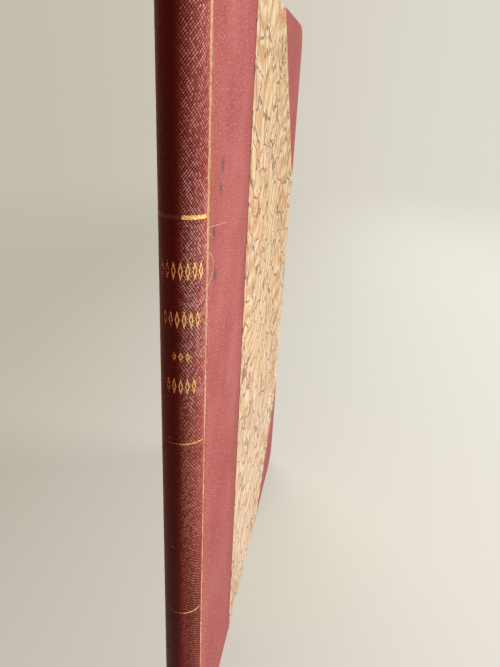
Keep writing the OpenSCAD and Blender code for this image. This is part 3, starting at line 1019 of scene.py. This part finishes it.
def make_joint_ridge(side, word):
    """Worn strip of covering over a joint, raised to a thin ridge"""
    path = []
    spine_lifts = ((66, 0.01), (69, 0.015), (71.5, 0.04), (74, 0.06), (76.5, 0.07), (78.5, 0.09))
    for degrees, lift in spine_lifts:
        turn = math.radians(degrees)
        out = SPINE_R + lift * MM
        path.append((out * math.sin(turn), SPINE_Y - JOINT_Y - out * math.cos(turn)))
    cover_lifts = ((0.045, 0.02), (0.07, 0.12), (0.05, 0.27), (0.02, 0.42), (0.01, 0.8))
    for lift, beyond in cover_lifts:
        path.append((JOINT_X + lift * MM, beyond * MM))
    piece = new_sheet(word + "_joint_ridge")
    pick(piece, "VERT", lambda vert: vert.co.x < 0 or vert.co.y < 0)
    delete("VERT")
    shape = bmesh.from_edit_mesh(piece.data)
    for vert in shape.verts:
        vert.co = (side * path[0][0], JOINT_Y + path[0][1], 0.35 * MM)
    bmesh.update_edit_mesh(piece.data)
    pick_all()
    for (x0, y0), (x1, y1) in zip(path, path[1:]):
        draw_out((side * (x1 - x0), y1 - y0, 0))
    bpy.ops.mesh.select_mode(type="EDGE")
    pick_all()
    height = BOOK_H - 0.7 * MM
    bpy.ops.mesh.extrude_edges_move(TRANSFORM_OT_translate={"value": (0, 0, height)})
    pick(piece, "EDGE", lambda edge: rise(edge) > 0.1)
    bpy.ops.mesh.subdivide(number_cuts=99)
    pick_all()
    bpy.ops.mesh.subdivide(number_cuts=1)

    def crest(vert):
        return -0.5 * MM < vert.co.y - JOINT_Y < 0.2 * MM

    pick(piece, "VERT", crest)
    bpy.ops.transform.vertex_random(offset=0.03 * MM, uniform=0.6, normal=0.0, seed=7)
    end_shaping()
    if sum(face.normal.x * side for face in piece.data.polygons) < 0:
        piece.data.flip_normals()
    thicken(piece, 0.06 * MM, even=False)
    smooth(piece, 80)
    dress_joint(piece, JOINT_CLOTH)


def thread_between(points, radius, name):
    """A fine thread through the given points"""
    curve = bpy.data.curves.new(name, "CURVE")
    curve.dimensions = "3D"
    curve.resolution_u = 3
    curve.bevel_depth = radius
    curve.bevel_resolution = 1
    curve.use_fill_caps = True
    line = curve.splines.new("NURBS")
    line.points.add(len(points) - 1)
    for knot, point in zip(line.points, points):
        knot.co = (*point, 1.0)
    line.order_u = 4
    line.use_endpoint_u = True
    piece = bpy.data.objects.new(name, curve)
    bpy.context.collection.objects.link(piece)
    alone(piece)
    bpy.ops.object.convert(target="MESH")
    return bpy.context.object


def join_all(pieces, name):
    """Joins pieces into the first one"""
    pick_nothing()
    for piece in pieces:
        piece.select_set(True)
    bpy.context.view_layer.objects.active = pieces[0]
    bpy.ops.object.join()
    return new_piece(name)


RIDGE_PROFILE = [
    (-0.64, 5.467), (-0.403, 5.54), (-0.213, 5.602), (0.02, 5.795),
    (0.12, 5.82), (0.27, 5.80), (0.42, 5.77), (0.8, 5.76), (3.0, 5.755),
]


def ridge_surface(y):
    """How far out the cloth is at y from the joint, in millimetres"""
    y = min(max(y, RIDGE_PROFILE[0][0]), RIDGE_PROFILE[-1][0])
    for (y0, x0), (y1, x1) in zip(RIDGE_PROFILE, RIDGE_PROFILE[1:]):
        if y <= y1:
            return x0 + (x1 - x0) * (y - y0) / (y1 - y0)


def make_joint_fray(side, word):
    """Broken threads along a joint, pressed flat beside its ridge"""
    thread_count = 190
    worn_levels = (219, 203, 198, 176, 150)
    flatness = 0.35
    threads = []
    for number in range(thread_count):
        z = CHANCE.uniform(1.5, 238)
        if number % 3 == 0:
            z = CHANCE.gauss(CHANCE.choice(worn_levels), 2.5)
        length = CHANCE.uniform(0.5, 1.9)
        start = CHANCE.gauss(0.1, 0.25)
        lean = CHANCE.uniform(-0.7, 0.9)
        points = []
        for step in range(4):
            t = step / 3
            y = min(max(start + lean * length * t, -0.6), 1.5)
            x = side * (ridge_surface(y) + CHANCE.uniform(0.01, 0.03)) * MM
            points.append((x, JOINT_Y + y * MM, (z + t * length) * MM))
        threads.append(thread_between(points, CHANCE.uniform(0.035, 0.07) * MM, "fray"))
    piece = join_all(threads, word + "_joint_fray")
    for vert in piece.data.vertices:
        level = side * ridge_surface((vert.co.y - JOINT_Y) / MM) * MM
        vert.co.x = level + (vert.co.x - level) * flatness
    smooth(piece, 60)
    dress_joint(piece, BARE_THREAD)


def make_loose_threads():
    """Threads that have come off the front joint and lie on the lap"""
    x = JOINT_X + 0.03 * MM
    loop_out = [(0.4, 179.2), (1.8, 178.5), (3.9, 177.0), (5.2, 175.2)]
    loop_back = [(4.6, 173.6), (2.6, 172.5), (0.4, 171.4)]
    paths = [
        loop_out + loop_back,
        [(0.3, 184.9), (1.6, 184.7), (4.5, 184.2), (9.8, 183.4), (17.4, 182.3)],
        [(0.4, 183.4), (2.2, 183.0), (4.6, 181.4)],
        [(0.5, 206.0), (1.3, 204.6), (1.0, 202.1)],
        [(0.6, 211.5), (1.2, 210.6), (0.9, 209.1)],
        [(0.4, 168.4), (1.8, 167.9), (2.1, 166.1)],
        [(0.4, 219.8), (1.5, 218.7), (1.7, 217.0), (1.2, 215.9)],
    ]
    threads = []
    for thread, path in enumerate(paths):
        radius = (0.15 if thread == 0 else 0.09) * MM
        points = [(x + CHANCE.uniform(0.0, 0.06) * MM, JOINT_Y + y * MM, z * MM) for y, z in path]
        threads.append(thread_between(points, radius, "loose"))
    piece = join_all(threads, "front_loose_threads")
    start_shaping(piece)
    pick_all()
    bpy.ops.transform.resize(value=(0.4, 1, 1), center_override=(JOINT_X, 0, 0))
    end_shaping()
    smooth(piece, 60)
    dress(piece, BARE_THREAD, "front_cover", "red_leathercloth")


# Leaves and bands


def make_leaves():
    """Sewn leaves: rounded and backed at the spine, hollow along the fore-edge"""
    leaf_t = 2 * PAGES_X / LEAVES
    leaf_fill = 0.97
    back_spread = 1.42
    hollow_r = (PAGES_X ** 2 + FORE_HOLLOW ** 2) / (2 * FORE_HOLLOW)
    pick_nothing()
    bpy.ops.mesh.primitive_cube_add(size=1, location=(0, 0, 0))
    pattern = new_piece("leaf")
    start_shaping(pattern)
    for y in (-0.3, -0.1, 0.1, 0.3):
        score((0, y, 0), (0, 1, 0))
    end_shaping()
    leaves = []
    for number in range(LEAVES):
        x = -PAGES_X + (number + 0.5) * leaf_t
        section = number // SECTION_LEAVES
        at_fold = number % SECTION_LEAVES in (0, SECTION_LEAVES - 1)
        uneven = 0.2 if at_fold else 0.1
        head = PAGES_HEAD - CHANCE.uniform(0, uneven) * MM - (section % 2) * 0.05 * MM
        tail = PAGES_TAIL + CHANCE.uniform(0, uneven) * MM
        fore = PAGES_FORE - FORE_HOLLOW + hollow_r - math.sqrt(hollow_r ** 2 - x * x)
        fore -= CHANCE.uniform(0, 0.14) * MM
        back_x = x * PAGES_BACK_X / PAGES_X
        back = SPINE_Y - math.sqrt(PAGES_R ** 2 - back_x ** 2)
        stations = [
            (back, back_x, back_spread),
            (min(back + 0.7 * MM, JOINT_Y - 0.1 * MM), back_x, back_spread),
            (JOINT_Y + 0.1 * MM, x, 1.0),
            (JOINT_Y + 4 * MM, x, 1.0),
            (fore - 6 * MM, x, 1.0),
            (fore, x, 1.0),
        ]
        leaf = copy_of(pattern)
        rows = sorted({round(vert.co.y, 3) for vert in leaf.data.vertices})
        for vert in leaf.data.vertices:
            y, mid_x, spread = stations[rows.index(round(vert.co.y, 3))]
            vert.co.x = mid_x + vert.co.x * leaf_t * spread * leaf_fill
            vert.co.y = y
            vert.co.z = head if vert.co.z > 0 else tail
        leaves.append(leaf)
    bpy.data.objects.remove(pattern)
    piece = join_all(leaves, "sewn_leaves")
    smooth(piece, 30)
    dress(piece, LEAF_PAPER, "root", "pages", "text_block")


def make_band(name, node, level, up):
    """Worked band: threads wound side by side over a core, in two colours"""
    radius = PAGES_R - BAND_W / 2
    pick_nothing()
    bpy.ops.mesh.primitive_torus_add(
        major_segments=14, minor_segments=6, major_radius=0.38 * MM, minor_radius=0.17 * MM,
    )
    pattern = new_piece("wrap")
    start_shaping(pattern)
    pick_all()
    bpy.ops.transform.rotate(value=math.radians(90), orient_axis="X", center_override=(0, 0, 0))
    bpy.ops.transform.resize(value=(0.82, 1, 1.18))
    end_shaping()
    pitch = 0.31 * MM
    reach = math.radians(72)
    middle_z = level + up * 0.64 * MM
    count = int(2 * reach * radius / pitch)
    wraps = []
    for number in range(count + 1):
        turn = -reach + 2 * reach * number / count
        wrap = copy_of(pattern)
        at = Vector((radius * math.sin(turn), SPINE_Y - radius * math.cos(turn), middle_z))
        lean = Matrix.Rotation(CHANCE.uniform(-0.08, 0.08), 4, "X")
        swing = Matrix.Rotation(turn - math.pi / 2, 4, "Z")
        wrap.data.transform(Matrix.Translation(at) @ swing @ lean)
        coat(wrap, RED_SILK, CREAM_SILK)
        for face in wrap.data.polygons:
            face.material_index = (number // 3) % 2
        wraps.append(wrap)
    bpy.data.objects.remove(pattern)
    piece = join_all(wraps, name)
    smooth(piece, 60)
    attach(piece, "root")
    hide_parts(node)


# Camera, light and floor


def make_camera():
    """Camera at the height of the head, close to the spine, looking down along the front cover"""
    yaw = math.radians(9.052)
    pitch = math.radians(23.807)
    roll = math.radians(3.026)
    focal_pixels = 555.0
    photo_h = 667
    camera_at = (0.03457, -0.201075, 0.21291)
    forward = Vector((-math.sin(yaw), math.cos(yaw), 0))
    ahead = forward * math.cos(pitch) - Vector((0, 0, math.sin(pitch)))
    level = Vector((math.cos(yaw), math.sin(yaw), 0))
    above = level.cross(ahead)
    right = math.cos(roll) * level + math.sin(roll) * above
    up = -math.sin(roll) * level + math.cos(roll) * above
    lens = bpy.data.cameras.new("camera")
    lens.sensor_width = 36
    lens.lens = lens.sensor_width * focal_pixels / photo_h
    lens.clip_start = 0.005
    lens.clip_end = 20
    camera = bpy.data.objects.new("camera", lens)
    turn = Matrix((right, up, -ahead)).transposed().to_4x4()
    camera.matrix_world = Matrix.Translation(camera_at) @ turn
    bpy.context.collection.objects.link(camera)
    bpy.context.scene.camera = camera


def make_lamp(name, towards, power, softness, colour):
    """A wide soft lamp, far away in the given direction"""
    light = bpy.data.lights.new(name, "SUN")
    light.energy = power
    light.angle = math.radians(softness)
    light.color = colour
    lamp = bpy.data.objects.new(name, light)
    lamp.rotation_euler = (-Vector(towards)).to_track_quat("-Z", "Y").to_euler()
    bpy.context.collection.objects.link(lamp)


def make_floor_finish():
    """Matt pale floor that takes shadows, with a painted shadow darkening it to the left, and fades
    away with distance
    """
    w = new_finish("pale floor", rough=0.9, shine=0.1)
    lit = w.mix(w.noise(6, 3.0), (0.2, 0.195, 0.18, 1.0), (0.19, 0.185, 0.17, 1.0))
    w.give("Base Color", lit)
    # Painted shadow: the floor is shown darker to the left, where the book's shadow falls
    toward_painted_light = w.step(w.split()[0], -0.3, 0.25)
    w.give("Emission Color", w.mix(toward_painted_light, (150, 144, 131), (212, 208, 198)))
    w.give("Emission Strength", w.seen())
    clear = w.node("BsdfTransparent").outputs[0]
    far = w.step(w.vector("LENGTH", w.place), 0.45, 1.3)
    fade = w.node("MixShader", {0: far, 1: w.shader.outputs[0], 2: clear})
    w.feed(w.tree.nodes["Material Output"].inputs["Surface"], fade.outputs[0])
    return w.material


def make_stage():
    """Pale floor under the book"""
    pick_nothing()
    bpy.ops.mesh.primitive_plane_add(size=3, location=(0, 0, -0.00005))
    floor = new_piece("floor")
    floor.data.materials.append(make_floor_finish())


def make_world():
    """Dim even light from all round, and a pale background with painted shade darkening it to the
    left
    """
    world = bpy.data.worlds.new("studio")
    bpy.context.scene.world = world
    world.use_nodes = True
    w = Wiring(world.node_tree)
    back = w.tree.nodes["Background"]
    seen = w.seen()
    # Painted shade: the background is shown darker to the left, away from the window lamp
    toward_painted_light = w.split(w.node("TexCoord").outputs["Generated"])[0]
    pale = w.mix(w.step(toward_painted_light, -0.6, 0.3), (196, 188, 172), (224, 219, 208))
    w.feed(back.inputs["Color"], w.mix(seen, (1.0, 0.94, 0.87, 1.0), pale))
    w.feed(back.inputs["Strength"], w.step(seen, 0.0, 1.0, 0.035, 1.0))


# The whole book

make_camera()
make_world()
make_stage()
make_lamp("window", (0.99, 0.14, 0.42), 2.9, 24, (1.0, 0.98, 0.95))
make_lamp("room", (-0.25, 0.6, 0.8), 2.3, 40, (1.0, 0.97, 0.92))

make_spine_cover()
for side, body, word in ((1, "front_cover", "front"), (-1, "back_cover", "back")):
    make_lap(side, body, word)
    make_corner(side, body, word, True)
    make_corner(side, body, word, False)
    make_side_paper(side, body, word)
    make_joint_ridge(side, word)
    make_joint_fray(side, word)
    finish_node(word + "_board", PASTEBOARD)
    finish_node(word + "_mull_flange", MULL)
    finish_node(word + "_pastedown", ENDPAPER)
    finish_node(word + "_flyleaf", ENDPAPER)
make_loose_threads()
make_leaves()
make_band("head_band_threads", "head_band", PAGES_HEAD, 1)
make_band("tail_band_threads", "tail_band", PAGES_TAIL, -1)
finish_node("spine_mull", MULL)
for node in ("spine_lining", "spine_inlay"):
    finish_node(node, LINING_PAPER)
finish_node("gilt_fillet_upper", UPPER_GILT)
for node in ("gilt_fillet_middle", "gilt_fillet_lower"):
    finish_node(node, THIN_GILT)
for node in ("gilt_row_1", "gilt_row_2", "gilt_row_3", "gilt_row_4"):
    finish_node(node, ROW_GILT)

bpy.context.scene.view_settings.view_transform = "Standard"
